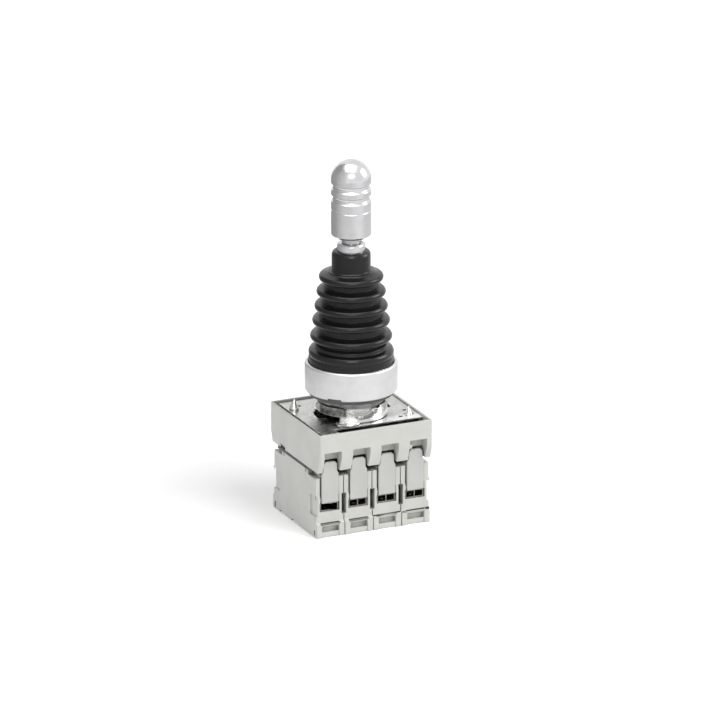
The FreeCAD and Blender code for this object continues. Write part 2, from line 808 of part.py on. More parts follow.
def fixed_contacts(number):
    """Two fixed contact strips, each from its terminal to a silver tip in the chamber."""
    middle = BLOCK_X[number]
    strips = []
    for face in (-1, 1):
        reach = (min(face * 5.2, face * 14.6), max(face * 5.2, face * 14.6))
        strip = block((middle - 1.6, middle + 1.6), reach, (11.4, 12.1))
        tip = rod(0.9, (12.1, 13.0), middle, face * 6.3)
        strips.append(strip.fuse(tip).removeSplitter())
    return Part.makeCompound(strips)


def terminal_places():
    """Middle of each terminal, two to a block."""
    return [(x, face * SCREW_Y) for x in BLOCK_X for face in (-1, 1)]


def terminal_screws():
    """Slotted clamp screws, driven from the underside of the blocks."""
    screws = []
    for x, y in terminal_places():
        body = rod(2.3, (1.2, 3.2), x, y).fuse(rod(1.25, (3.2, 9.2), x, y)).removeSplitter()
        slot = block((x - 3, x + 3), (y - 0.35, y + 0.35), (1.2, 2.2))
        screws.append(body.cut(slot))
    return Part.makeCompound(screws)


def terminal_clamps():
    """Steel cages behind the wire windows, each with two square mouths."""
    half_x = 3.2
    half_y = 1.5
    front = FRONT_MID - 0.5
    wall = 0.35
    z = (WINDOW_Z[0] + 0.05, WINDOW_Z[1] - 0.1)
    mouth_z = (z[0] + wall + 0.1, z[1] - wall)
    screw_r = 1.3
    clamps = []
    for x, y in terminal_places():
        face = 1 if y > 0 else -1
        near = face * (SCREW_Y - half_y)
        far = face * front
        body = block((x - half_x, x + half_x), (min(near, far), max(near, far)), z)
        for side in (-1, 1):
            inner = x + side * wall / 2
            outer = x + side * (half_x - wall)
            body = body.cut(block((min(inner, outer), max(inner, outer)), (y - 6, y + 6), mouth_z))
        body = body.cut(rod(screw_r, (z[0], mouth_z[0] + wall), x, y))
        clamps.append(body)
    return Part.makeCompound(clamps)


def release_latch(number):
    """Spring tongue on the front of a block, with a nib over the frame's rail and pivot pins."""
    back_y = LATCH_FACE_Y + 0.9
    low = WINDOW_Z[1] + 0.15
    wide = 2.95
    narrow = 2.45
    taper_z = (21.2, 22.1)
    corner = 0.8
    half = [
        (wide, low),
        (wide, taper_z[0]),
        (narrow, taper_z[1]),
        (narrow, LATCH_TOP_Z - corner),
        (narrow - corner, LATCH_TOP_Z),
    ]
    front_outline = half + [(-x, z) for x, z in reversed(half)]
    outline = Part.makePolygon([V(x, LATCH_FACE_Y, z) for x, z in front_outline + front_outline[:1]])
    tongue = Part.Face(outline).extrude(V(0, back_y - LATCH_FACE_Y, 0))
    barrel = cross_rod(0.7, both(wide), LATCH_PIVOT_Y, LATCH_PIVOT_Z)
    pins = cross_rod(0.44, both(wide + 0.75), LATCH_PIVOT_Y, LATCH_PIVOT_Z)
    nib_low = RAIL_Z[1] + GAP
    nib_reach = -14.7
    nib = pressed(
        [
            (back_y - 0.1, nib_low),
            (nib_reach, nib_low),
            (nib_reach - 0.2, nib_low + 0.6),
            (back_y - 0.1, LATCH_TOP_Z - 0.2),
        ],
        both(narrow - 0.25),
    )
    body = tongue.fuse([barrel, pins, nib]).removeSplitter()
    body.translate(V(BLOCK_X[number], 0, 0))
    return body


def save(name, shape):
    """Write one piece under its own name."""
    if not shape.isValid():
        raise ValueError(name + " is not a sound solid")
    shape.exportStep("parts/" + name + ".step")


def pieces():
    """Every piece by name."""
    found = {
        "knob": knob(),
        "lever_nut": lever_nut(),
        "lever_shaft": lever_shaft(),
        "pivot_pin": pivot_pin(),
        "cam_plate": cam_plate(),
        "cam_washer": cam_washer(),
        "spring_cap": spring_cap(),
        "return_spring": return_spring(),
        "gimbal_ring": gimbal_ring(),
        "operator_body": operator_body(),
        "bezel_ring": bezel_ring(),
        "panel_gasket": panel_gasket(),
        "bellows": bellows(),
        "bellows_retainer": bellows_retainer(),
        "lock_ring": lock_ring(),
        "adapter_plate": adapter_plate(),
        "clamp_screws": clamp_screws(),
        "collar": collar(),
        "terminal_screws": terminal_screws(),
        "terminal_clamps": terminal_clamps(),
    }
    for number, side in enumerate(SIDES):
        label = str(number + 1)
        found["pusher_" + side] = pusher(side)
        found["contact_case_" + label] = contact_case(number)
        found["contact_cover_" + label] = contact_cover(number)
        found["plunger_" + label] = plunger(number)
        found["contact_bridge_" + label] = contact_bridge(number)
        found["block_spring_" + label] = block_spring(number)
        found["fixed_contacts_" + label] = fixed_contacts(number)
        found["release_latch_" + label] = release_latch(number)
    return found


os.makedirs("parts", exist_ok=True)
for name, shape in pieces().items():
    save(name, shape)
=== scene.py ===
import math

import bmesh
import bpy
import numpy as np
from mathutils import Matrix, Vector


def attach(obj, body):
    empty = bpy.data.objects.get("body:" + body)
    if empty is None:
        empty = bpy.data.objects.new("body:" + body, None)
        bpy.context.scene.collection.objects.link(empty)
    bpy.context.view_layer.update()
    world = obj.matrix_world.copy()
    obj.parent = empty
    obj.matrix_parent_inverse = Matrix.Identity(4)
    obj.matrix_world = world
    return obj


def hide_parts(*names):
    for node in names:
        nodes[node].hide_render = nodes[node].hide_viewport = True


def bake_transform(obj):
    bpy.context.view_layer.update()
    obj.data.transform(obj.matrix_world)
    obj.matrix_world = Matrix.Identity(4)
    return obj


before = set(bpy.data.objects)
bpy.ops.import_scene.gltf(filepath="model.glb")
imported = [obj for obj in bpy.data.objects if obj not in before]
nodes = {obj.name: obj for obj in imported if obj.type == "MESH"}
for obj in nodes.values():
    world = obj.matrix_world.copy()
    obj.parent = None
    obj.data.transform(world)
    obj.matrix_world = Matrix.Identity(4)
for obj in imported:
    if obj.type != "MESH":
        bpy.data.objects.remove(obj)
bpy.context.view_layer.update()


# Contact block cases. Four blocks of light warm-grey moulded plastic, 10 mm apart, each with wire
# windows front and back. They are moulded in one piece each and hang under the frame by a hook.

CASE_EASE = 0.16
CASE_STEP_Z = (14.0, 14.36)
GREY_LIGHT = (0.690, 0.692, 0.655, 1)
GREY_DEEP = (0.645, 0.648, 0.610, 1)
# Painted shade for the crevices of the plastic parts, deeper where they are more closed.
GAP_PAINTED_SHADE = (0.19, 0.19, 0.178, 1)
CASE_GRAIN = 0.010
GAP_REACH = 3.0
SHADE = (0.006, 0.006, 0.006, 1)
BLACK = (0, 0, 0, 1)
WHITE = (1, 1, 1, 1)
DOUBLES = 2e-6
FLAT_TURN = math.radians(0.7)
EDGE_TURN = math.radians(30)


def set_input(owner, socket, value):
    """Sets a node's input to a value, or joins it to another node's output."""
    if isinstance(value, bpy.types.NodeSocket):
        owner.node_tree.links.new(value, socket)
    else:
        socket.default_value = value


def add_node(owner, kind, **inputs):
    """Node of a kind in a material or world, with each named input set or joined."""
    made = owner.node_tree.nodes.new(kind)
    for label, value in inputs.items():
        set_input(owner, made.inputs[label.replace("_", " ")], value)
    return made


def combined(owner, operation, first, second):
    """Two values joined by a math operation, such as their sum or product."""
    made = add_node(owner, "ShaderNodeMath")
    made.operation = operation
    set_input(owner, made.inputs[0], first)
    set_input(owner, made.inputs[1], second)
    return made.outputs["Value"]


def new_finish(name, metallic=0.0, roughness=0.5):
    """Empty material with one shader, and its pattern coordinates counted in millimetres."""
    material = bpy.data.materials.new(name)
    material.use_nodes = True
    shader = material.node_tree.nodes["Principled BSDF"]
    shader.inputs["Metallic"].default_value = metallic
    shader.inputs["Roughness"].default_value = roughness
    place = add_node(material, "ShaderNodeTexCoord").outputs["Object"]
    scaled = add_node(material, "ShaderNodeMapping", Vector=place, Scale=(1000, 1000, 1000))
    return material, shader, scaled.outputs["Vector"]


def noise(material, place, scale, detail=2.0, roughness=0.5):
    """Cloudy pattern from 0 to 1, with a number of clouds to the millimetre."""
    made = add_node(
        material, "ShaderNodeTexNoise", Vector=place, Scale=scale, Detail=detail, Roughness=roughness
    )
    return made.outputs["Fac"]


def stretched(material, place, scale):
    """Pattern place drawn out along some axes, which makes clouds into streaks."""
    return add_node(material, "ShaderNodeMapping", Vector=place, Scale=scale).outputs["Vector"]


def tones(material, factor, stops, steps=False):
    """Colour read from a factor between stops of (factor, colour), or in steps from stop to stop."""
    made = add_node(material, "ShaderNodeValToRGB", Fac=factor)
    ramp = made.color_ramp
    if steps:
        ramp.interpolation = "CONSTANT"
    ramp.elements[0].position, ramp.elements[0].color = stops[0]
    ramp.elements[1].position, ramp.elements[1].color = stops[-1]
    for position, colour in stops[1:-1]:
        ramp.elements.new(position).color = colour
    return made.outputs["Color"]


def between(material, factor, low, high, start=0.3, stop=0.7):
    """Value from low to high as the factor goes from start to stop."""
    made = add_node(
        material, "ShaderNodeMapRange", Value=factor, From_Min=start, From_Max=stop, To_Min=low, To_Max=high
    )
    return made.outputs["Result"]


def feed(material, shader, **inputs):
    """Joins pattern outputs to the shader's inputs."""
    for label, output in inputs.items():
        material.node_tree.links.new(output, shader.inputs[label.replace("_", " ")])


def relief(material, height, depth_mm):
    """Surface relief of a depth in millimetres from a pattern."""
    made = add_node(material, "ShaderNodeBump", Height=height, Distance=depth_mm / 1000, Strength=1.0)
    return made.outputs["Normal"]


def openness(material, reach):
    """How open the surface lies over a reach in millimetres: 0 in a closed gap, 1 on a free face."""
    shut = add_node(material, "ShaderNodeAmbientOcclusion", Distance=reach / 1000)
    shut.samples = 8
    return shut.outputs["AO"]


def mixed(material, amount, first, second):
    """Colour between two others by an amount from 0 to 1."""
    return add_node(material, "ShaderNodeMixRGB", Fac=amount, Color1=first, Color2=second).outputs["Color"]


def moulded_plastic(name, light, deep, rough, grain, gap=None, web=None):
    """Moulded plastic: slow drifts between two tones, patchy gloss and a fine spark-eroded grain.

    gap is a painted shade: the colour that its crevices take, deeper the more closed they are. web is
    the half width, the underside and the top in millimetres of a square floor inside the piece, which is
    painted near black as shade.
    """
    material, shader, place = new_finish(name)
    drift = noise(material, place, 0.16, detail=3)
    patches = noise(material, place, 1.1, detail=2)
    pits = noise(material, place, 11, detail=2)
    base = tones(material, drift, [(0.35, deep), (0.65, light)])
    # Crevices are painted towards the gap colour as shade.
    if gap:
        shut = between(material, openness(material, GAP_REACH), 1, 0, 0.15, 0.55)
        base = mixed(material, shut, base, gap)
    # The square floor inside the piece is painted near black as shade.
    if web:
        half, under, top = web
        spot = add_node(material, "ShaderNodeSeparateXYZ", Vector=place).outputs
        painted_dark = between(material, spot["Z"], 1, 0, top, top + 0.3)
        edges = [("Z", under + 0.2, under)]
        edges += [(axis, side * half, side * (half + 0.1)) for axis in "XY" for side in (-1, 1)]
        for axis, inner, outer in edges:
            inside = between(material, spot[axis], 1, 0, inner, outer)
            painted_dark = combined(material, "MULTIPLY", painted_dark, inside)
        base = mixed(material, painted_dark, base, SHADE)
    feed(
        material,
        shader,
        Base_Color=base,
        Roughness=between(material, patches, rough - 0.05, rough + 0.06),
        Normal=relief(material, pits, grain),
    )
    return material


def eased_copy(node, ease, finish, steps=2, room=None):
    """Piece that stands for a CAD node, with its edges rounded over a width in millimetres.

    The node's loose triangles are merged at their corners and its flat faces joined first. Where room
    gives two heights, corners at the first move to the second, so that a narrow step there has room
    for its rounding.
    """
    mesh = nodes[node].data.copy()
    mesh.materials.clear()
    if "custom_normal" in mesh.attributes:
        mesh.attributes.remove(mesh.attributes["custom_normal"])
    work = bmesh.new()
    work.from_mesh(mesh)
    bmesh.ops.remove_doubles(work, verts=work.verts, dist=DOUBLES)
    if room:
        for corner in work.verts:
            if abs(corner.co.z * 1000 - room[0]) < 0.01:
                corner.co.z = room[1] / 1000
    bmesh.ops.dissolve_limit(work, angle_limit=FLAT_TURN, verts=work.verts, edges=work.edges)
    for face in work.faces:
        face.smooth = True
    for edge in work.edges:
        edge.smooth = True
    work.to_mesh(mesh)
    work.free()
    mesh.materials.append(finish)
    piece = bpy.data.objects.new(node + "_eased", mesh)
    bpy.context.scene.collection.objects.link(piece)
    rounding = piece.modifiers.new("eased edges", "BEVEL")
    rounding.width = ease / 1000
    rounding.segments = steps
    rounding.limit_method = "ANGLE"
    rounding.angle_limit = EDGE_TURN
    rounding.use_clamp_overlap = False
    weighed = piece.modifiers.new("weighed shading", "WEIGHTED_NORMAL")
    weighed.keep_sharp = True
    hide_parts(node)
    return piece


# The cases' crevices are painted darker as shade.
case_plastic = moulded_plastic("case plastic", GREY_LIGHT, GREY_DEEP, 0.46, CASE_GRAIN, GAP_PAINTED_SHADE)
for number in "1234":
    case = eased_copy("contact_case_" + number, CASE_EASE, case_plastic, room=CASE_STEP_Z)
    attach(case, "housing")


# Switching parts inside each block. Two fixed strips and a moving bridge of brass with silver tips,
# under a white plunger and over a small spring; the bridge and plunger slide with their push rod.

BRASS_LIGHT = (0.74, 0.57, 0.33, 1)
BRASS_DEEP = (0.60, 0.43, 0.22, 1)
ACETAL_LIGHT = (0.82, 0.82, 0.78, 1)
ACETAL_DEEP = (0.77, 0.77, 0.73, 1)
WIRE_LIGHT = (0.56, 0.56, 0.57, 1)
WIRE_DEEP = (0.38, 0.38, 0.39, 1)
CONTACT_EASE = 0.05
PLUNGER_EASE = 0.12
SPRING_WIRE_R = 0.20
SPRING_COIL_R = 1.5
SPRING_TURNS = 5
SPRING_Z = (9.02, 15.08)
SIDES = {"1": "west", "2": "north", "3": "south", "4": "east"}
BLOCK_X = {"1": -15.0, "2": -5.0, "3": 5.0, "4": 15.0}


def stamped_metal(name, light, deep, rough):
    """Stamped strip: faint rolling streaks along Y, cloudy tarnish and uneven gloss."""
    material, shader, place = new_finish(name, metallic=1.0)
    streaks = noise(material, stretched(material, place, (9, 0.25, 9)), 1, detail=2)
    clouds = noise(material, place, 0.8, detail=3)
    feed(
        material,
        shader,
        Base_Color=tones(material, clouds, [(0.35, deep), (0.7, light)]),
        Roughness=between(material, streaks, rough - 0.06, rough + 0.08),
        Normal=relief(material, streaks, 0.006),
    )
    return material


def drawn_wire(name, light, deep, rough):
    """Drawn wire: short bright and dark lengths and fine die lines."""
    material, shader, place = new_finish(name, metallic=1.0)
    lengths = noise(material, place, 0.7, detail=2)
    lines = noise(material, stretched(material, place, (3, 3, 14)), 1, detail=2)
    feed(
        material,
        shader,
        Base_Color=tones(material, lengths, [(0.35, deep), (0.7, light)]),
        Roughness=between(material, lines, rough - 0.07, rough + 0.08),
        Normal=relief(material, lines, 0.004),
    )
    return material


def mesh_piece(name, points, faces, finish, sharp=40):
    """Object at the origin from points in millimetres and faces, shaded smooth up to an angle."""
    mesh = bpy.data.meshes.new(name)
    mesh.from_pydata((np.asarray(points, float) / 1000).tolist(), [], faces)
    mesh.shade_smooth()
    mesh.set_sharp_from_angle(angle=math.radians(sharp))
    mesh.materials.append(finish)
    piece = bpy.data.objects.new(name, mesh)
    bpy.context.scene.collection.objects.link(piece)
    return piece


def swept_faces(rings, sides):
    """Faces of a tube of rings: four-sided between rings, and one many-sided cap at each end."""
    ring, side = np.meshgrid(np.arange(rings - 1), np.arange(sides), indexing="ij")
    here = ring * sides + side
    beside = ring * sides + (side + 1) % sides
    walls = np.stack([here, beside, beside + sides, here + sides], -1).reshape(-1, 4)
    first = np.arange(sides)[::-1]
    last = (rings - 1) * sides + np.arange(sides)
    return walls.tolist() + [first.tolist(), last.tolist()]


def wound_wire(radius, z, turns, wire, sides=10, steps=28, share=(0.0, 1.0)):
    """Points of a wire wound up an upright cone, and its faces.

    Along t from 0 to 1 the middle of the wire is at angle 2 pi turns t, at a height between the two
    values of z, and at a radius between the two values of radius. Round it stand circles of the
    wire's radius, in the plane of the outward direction and the one square to it and to the path.
    share is the part of t that is kept.
    """
    count = int(turns * steps * (share[1] - share[0])) + 1
    t = np.linspace(share[0], share[1], count)[:, None]
    angle = 2 * np.pi * turns * t
    reach = radius[0] + (radius[1] - radius[0]) * t
    outward = np.concatenate([np.cos(angle), np.sin(angle), 0 * t], 1)
    middle = reach * outward
    middle[:, 2:] = z[0] + (z[1] - z[0]) * t
    along = np.gradient(middle, axis=0)
    along /= np.linalg.norm(along, axis=1, keepdims=True)
    square = np.cross(along, outward)
    around = np.linspace(0, 2 * np.pi, sides, endpoint=False)
    across, beside = np.cos(around)[None, :, None], np.sin(around)[None, :, None]
    circle = outward[:, None] * across + square[:, None] * beside
    return (middle[:, None] + wire * circle).reshape(-1, 3), swept_faces(count, sides)


brass = stamped_metal("brass strip", BRASS_LIGHT, BRASS_DEEP, 0.30)
acetal = moulded_plastic("white acetal", ACETAL_LIGHT, ACETAL_DEEP, 0.34, 0.003)
spring_steel = drawn_wire("spring wire", WIRE_LIGHT, WIRE_DEEP, 0.28)
spring_z = (SPRING_Z[0] + SPRING_WIRE_R, SPRING_Z[1] - SPRING_WIRE_R)
coil, coil_faces = wound_wire((SPRING_COIL_R, SPRING_COIL_R), spring_z, SPRING_TURNS, SPRING_WIRE_R)
for number, side in SIDES.items():
    body = "pusher_" + side
    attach(eased_copy("fixed_contacts_" + number, CONTACT_EASE, brass), "housing")
    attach(eased_copy("contact_bridge_" + number, CONTACT_EASE, brass), body)
    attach(eased_copy("plunger_" + number, PLUNGER_EASE, acetal), body)
    points = coil + [BLOCK_X[number], 0, 0]
    spring = mesh_piece("block_spring_wire_" + number, points, coil_faces, spring_steel)
    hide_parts("block_spring_" + number)
    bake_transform(spring)


# Block covers. A dark glass-filled plate on each case, with a narrow head that guides the plunger
# and shows through the frame's slots.

COVER_LIGHT = (0.105, 0.104, 0.098, 1)
COVER_DEEP = (0.070, 0.069, 0.064, 1)
FIBRE = (0.17, 0.17, 0.16, 1)
COVER_EASE = 0.12


def glass_filled(name, light, deep, fibre, rough):
    """Dark plastic with short pale fibres: drifts of tone crossed by thin bright streaks."""
    material, shader, place = new_finish(name)
    drift = noise(material, place, 0.3, detail=3)
    fibres = noise(material, stretched(material, place, (2.2, 14, 14)), 1, detail=1)
    base = tones(material, drift, [(0.35, deep), (0.65, light)])
    feed(
        material,
        shader,
        Base_Color=mixed(material, between(material, fibres, 0, 1, 0.68, 0.76), base, fibre),
        Roughness=between(material, fibres, rough - 0.06, rough + 0.06),
        Normal=relief(material, fibres, 0.008),
    )
    return material


cover_plastic = glass_filled("cover plastic", COVER_LIGHT, COVER_DEEP, FIBRE, 0.50)
for number in SIDES:
    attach(eased_copy("contact_cover_" + number, COVER_EASE, cover_plastic), "housing")


# Terminals. Eight zinc-plated steel cages behind the wire windows, each drawn up by a slotted screw
# from the underside of its block.

ZINC_LIGHT = (0.30, 0.30, 0.29, 1)
ZINC_DEEP = (0.17, 0.17, 0.165, 1)
ZINC_STRAW = (0.26, 0.25, 0.22, 1)
CLAMP_EASE = 0.08
TERMINAL_SCREW_EASE = 0.10


def zinc_plated(name, light, deep, straw, rough, cloud, peel=0.008):
    """Bright zinc plate: cloudy tones with a faint straw tint, uneven gloss and a soft orange peel."""
    material, shader, place = new_finish(name, metallic=1.0)
    clouds = noise(material, place, cloud, detail=4, roughness=0.6)
    patches = noise(material, place, cloud * 2.3, detail=2)
    feed(
        material,
        shader,
        Base_Color=tones(material, clouds, [(0.36, deep), (0.52, straw), (0.66, light)]),
        Roughness=between(material, patches, rough - 0.08, rough + 0.10),
        Normal=relief(material, patches, peel),
    )
    return material


zinc = zinc_plated("zinc plate", ZINC_LIGHT, ZINC_DEEP, ZINC_STRAW, 0.30, 0.9)
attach(eased_copy("terminal_clamps", CLAMP_EASE, zinc), "housing")
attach(eased_copy("terminal_screws", TERMINAL_SCREW_EASE, zinc), "housing")


# Release latches. Four spring tongues of the same plastic as the cases, a shade greyer, each with a
# nib over the frame's rail and a pivot under the wire window's top edge.

LATCH_LIGHT = (0.612, 0.617, 0.587, 1)
LATCH_DEEP = (0.575, 0.580, 0.552, 1)
LATCH_EASE = 0.22

# The latches' crevices are painted darker as shade.
latch_plastic = moulded_plastic("latch plastic", LATCH_LIGHT, LATCH_DEEP, 0.42, 0.007, GAP_PAINTED_SHADE)
for number in SIDES:
    latch = eased_copy("release_latch_" + number, LATCH_EASE, latch_plastic, steps=3)
    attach(latch, "latch_" + number)


# Frame. A square moulding of the same light grey, with an open mouth above, a web that guides the
# push rods, and slotted fingers below that grip the blocks' shoulders.

FRAME_LIGHT = (0.695, 0.697, 0.660, 1)
FRAME_DEEP = (0.655, 0.658, 0.620, 1)
FRAME_EASE = 0.2
WEB_HALF = 17.9
WEB_Z = (32.4, 33.7)

# The frame's crevices are painted darker as shade, and the floor of its web near black as shade.
frame_plastic = moulded_plastic(
    "frame plastic", FRAME_LIGHT, FRAME_DEEP, 0.44, 0.009, GAP_PAINTED_SHADE, web=(WEB_HALF, *WEB_Z)
)
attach(eased_copy("collar", FRAME_EASE, frame_plastic), "housing")


# Push rods. Four rods of near-black acetal that slide in the frame's web, each with an arm out to the
# plunger of its own block. They are coloured near black partly as painted shade, for the dark in the
# frame's mouth where their heads show.

ROD_LIGHT = (0.007, 0.007, 0.007, 1)
ROD_DEEP = (0.005, 0.005, 0.005, 1)
ROD_EASE = 0.08

# Near black, partly as painted shade for the dark frame mouth where the rods' heads show.
shade_black_acetal = moulded_plastic("shade-black acetal", ROD_LIGHT, ROD_DEEP, 0.5, 0.003)
for side in SIDES.values():
    rod = eased_copy("pusher_" + side, ROD_EASE, shade_black_acetal)
    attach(rod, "pusher_" + side)


# Adapter plate. A pressed plate of bright mottled steel in the mouth of the frame, cut out for the
# neck, the lock ring's stop and the clamp screws.

PLATE_LIGHT = (0.66, 0.66, 0.64, 1)
PLATE_MIDDLE = (0.58, 0.58, 0.56, 1)
PLATE_DEEP = (0.50, 0.50, 0.48, 1)
# Greys of the painted reflection in the front left corner, and of the painted highlight on the front edge.
PLATE_REFLECTION_LIGHT = (0.80, 0.80, 0.78, 1)
PLATE_REFLECTION_DARK = (0.48, 0.48, 0.47, 1)
PLATE_PAINTED_HIGHLIGHT = (0.90, 0.90, 0.88, 1)
PLATE_EASE = 0.08
PAINTED_FRONT_Y = (-11.5, -8.5)
PAINTED_LEFT_X = (-9.5, -6.5)


def spangled_steel(name, light, middle, deep, rough):
    """Mottled zinc-coated steel: angular spangles of uneven brightness, broken up by cloudy wear. The
    front edge is painted bright as a highlight, and the front left corner is mottled as a painted
    reflection of the dark parts above it."""
    material, shader, place = new_finish(name, metallic=1.0)
    warp = noise(material, place, 0.5, detail=3)
    spangle = add_node(material, "ShaderNodeTexVoronoi", Vector=place, Scale=0.55, Randomness=1.0)
    wear = noise(material, place, 1.4, detail=4, roughness=0.65)
    tint = add_node(material, "ShaderNodeSeparateColor", Color=spangle.outputs["Color"])
    mottle = combined(material, "ADD", between(material, tint.outputs["Red"], -0.12, 0.12, 0, 1), wear)
    spot = add_node(material, "ShaderNodeSeparateXYZ", Vector=place).outputs
    # Painted highlight along the plate's front edge.
    front = between(material, spot["Y"], 1, 0, *PAINTED_FRONT_Y)
    left = between(material, spot["X"], 1, 0, *PAINTED_LEFT_X)
    base = tones(material, mottle, [(0.30, deep), (0.50, middle), (0.68, light)])
    base = mixed(material, front, base, PLATE_PAINTED_HIGHLIGHT)
    # The front left corner is mottled as a painted reflection instead of the highlight.
    mottled_patch = tones(material, mottle, [(0.42, PLATE_REFLECTION_DARK), (0.58, PLATE_REFLECTION_LIGHT)])
    base = mixed(material, combined(material, "MULTIPLY", front, left), base, mottled_patch)
    feed(
        material,
        shader,
        Base_Color=base,
        Roughness=between(material, warp, rough - 0.06, rough + 0.12),
        Normal=relief(material, mottle, 0.006),
    )
    return material


plate_steel = spangled_steel("plate steel", PLATE_LIGHT, PLATE_MIDDLE, PLATE_DEEP, 0.28)
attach(eased_copy("adapter_plate", PLATE_EASE, plate_steel), "housing")


# Clamp screws. Two threaded set screws with cone points, screwed up through the plate until their
# points bite the back of the panel.

SCREWS = [(-15.6, 9.8, 0.0), (16.0, -9.2, -1.1)]
SCREW_LIGHT = (0.86, 0.86, 0.84, 1)
SCREW_DEEP = (0.62, 0.62, 0.60, 1)
SCREW_STRAW = (0.80, 0.79, 0.74, 1)
SCREW_R = 1.6
SCREW_ROOT = 0.18
SCREW_PITCH = 0.5
SCREW_LOW = 29.8
SCREW_CONE = 35.2
SCREW_TIP = 38.4
POINT_R = 0.15


def threaded_screw(x, y, lift, sides=32, per_turn=8):
    """Upright screw as a grid of heights and angles, moved up by a lift.

    The radius is the screw's, less a saw of the thread's depth in (height / pitch - angle / full turn),
    and above the cone's foot it falls evenly to a blunt point. The saw fades out over the last pitch
    at each end.
    """
    rows = int((SCREW_CONE - SCREW_LOW) / SCREW_PITCH * per_turn)
    cone_z = np.linspace(SCREW_CONE, SCREW_TIP, 8)[1:]
    z = np.concatenate([np.linspace(SCREW_LOW, SCREW_CONE, rows), cone_z])
    angle = np.linspace(0, 2 * np.pi, sides, endpoint=False)
    height, turn = np.meshgrid(z, angle, indexing="ij")
    phase = (height / SCREW_PITCH - turn / (2 * np.pi)) % 1
    ends = np.clip(np.minimum(height - SCREW_LOW, SCREW_CONE - height) / SCREW_PITCH, 0, 1)
    body = SCREW_R - SCREW_ROOT * ends * np.abs(2 * phase - 1)
    cone = SCREW_R + (POINT_R - SCREW_R) * np.clip((height - SCREW_CONE) / (SCREW_TIP - SCREW_CONE), 0, 1)
    radius = np.minimum(body, cone)
    points = np.stack([x + radius * np.cos(turn), y + radius * np.sin(turn), height + lift], -1)
    return points.reshape(-1, 3), swept_faces(len(z), sides)


screw_zinc = zinc_plated("screw zinc", SCREW_LIGHT, SCREW_DEEP, SCREW_STRAW, 0.16, 1.2, peel=0.002)
for number, (x, y, lift) in enumerate(SCREWS, 1):
    points, faces = threaded_screw(x, y, lift)
    screw = mesh_piece(f"clamp_screw_{number}", points, faces, screw_zinc, sharp=50)
    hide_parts("clamp_screws")
    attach(screw, "housing")


# Lock ring. A bright plated ring that turns round the neck between the plate and the bezel, with a
# flange on the front and a thumb tongue to the front left.

RING_EASE = 0.08
RING_LIGHT = (0.90, 0.90, 0.88, 1)
RING_DEEP = (0.74, 0.74, 0.73, 1)
RING_CHEEK_DARK = (0.14, 0.14, 0.137, 1)
RING_CHEEK_LIGHT = (0.36, 0.36, 0.355, 1)
CHEEK_X = (-6.4, -5.6)
CHEEK_Y = (-1.6, -0.8)
CHEEK_Z = (36.5, 37.1)


def cheek_mottled_plate(name, light, deep, worn, stain, rough):
    """Bright plating with slow drifts of tone, and the ring's upper front left cheek mottled darker."""
    material, shader, place = new_finish(name, metallic=1.0)
    drift = noise(material, place, 0.25, detail=2)
    mottle = noise(material, place, 0.9, detail=4, roughness=0.6)
    spot = add_node(material, "ShaderNodeSeparateXYZ", Vector=place).outputs
    # The ring's upper front left cheek is mottled darker.
    cheek = between(material, spot["Z"], 0, 1, *CHEEK_Z)
    cheek = combined(material, "MULTIPLY", cheek, between(material, spot["X"], 1, 0, *CHEEK_X))
    cheek = combined(material, "MULTIPLY", cheek, between(material, spot["Y"], 1, 0, *CHEEK_Y))
    base = tones(material, drift, [(0.35, deep), (0.65, light)])
    mottled_patch = tones(material, mottle, [(0.38, stain), (0.66, worn)])
    feed(
        material,
        shader,
        Base_Color=mixed(material, cheek, base, mottled_patch),
        Roughness=between(material, mottle, rough - 0.05, rough + 0.08),
        Normal=relief(material, drift, 0.004),
    )
    return material


lock_metal = cheek_mottled_plate("lock ring plate", RING_LIGHT, RING_DEEP, RING_CHEEK_LIGHT, RING_CHEEK_DARK, 0.22)
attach(eased_copy("lock_ring", RING_EASE, lock_metal), "lock_ring")


# Operator. A dark turned body: a flange that stands on the panel, and a neck with a key that passes
# through it. It is turned from bar, and its neck keeps the tool's fine rings.

NECK_LIGHT = (0.30, 0.30, 0.30, 1)
NECK_DEEP = (0.18, 0.18, 0.18, 1)
# A band low on the neck is painted bright as a highlight, where it is lit brightly.
NECK_PAINTED_HIGHLIGHT = (0.86, 0.86, 0.84, 1)
NECK_HIGHLIGHT_Z = (36.8, 39.3)
NECK_EASE = 0.15
RAMP_TOP = 50


def turned_metal(name, light, deep, rough, rings, ring_depth, foot=None):
    """Turned metal: fine rings up the axis in gloss and relief, over slow drifts of tone.

    foot is the colour of a painted highlight band, with the two heights in millimetres that it lies
    between, both under RAMP_TOP.
    """
    material, shader, place = new_finish(name, metallic=1.0)
    cut = noise(material, stretched(material, place, (0.02, 0.02, rings)), 1, detail=2)
    drift = noise(material, place, 0.35, detail=3)
    base = tones(material, drift, [(0.35, deep), (0.65, light)])
    # A band of the surface is painted bright as a highlight.
    if foot:
        colour, low, high = foot
        up = add_node(material, "ShaderNodeSeparateXYZ", Vector=place).outputs["Z"]
        stops = [(0, BLACK), (low / RAMP_TOP, WHITE), (high / RAMP_TOP, BLACK)]
        painted_band = tones(material, between(material, up, 0, 1, 0, RAMP_TOP), stops, steps=True)
        base = mixed(material, painted_band, base, colour)
    feed(
        material,
        shader,
        Base_Color=base,
        Roughness=between(material, cut, rough - 0.05, rough + 0.07),
        Normal=relief(material, cut, ring_depth),
    )
    return material


# The neck's lower part carries a painted highlight band.
neck_metal = turned_metal(
    "neck metal", NECK_LIGHT, NECK_DEEP, 0.28, 5, 0.012, foot=(NECK_PAINTED_HIGHLIGHT, *NECK_HIGHLIGHT_Z)
)
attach(eased_copy("operator_body", NECK_EASE, neck_metal), "housing")


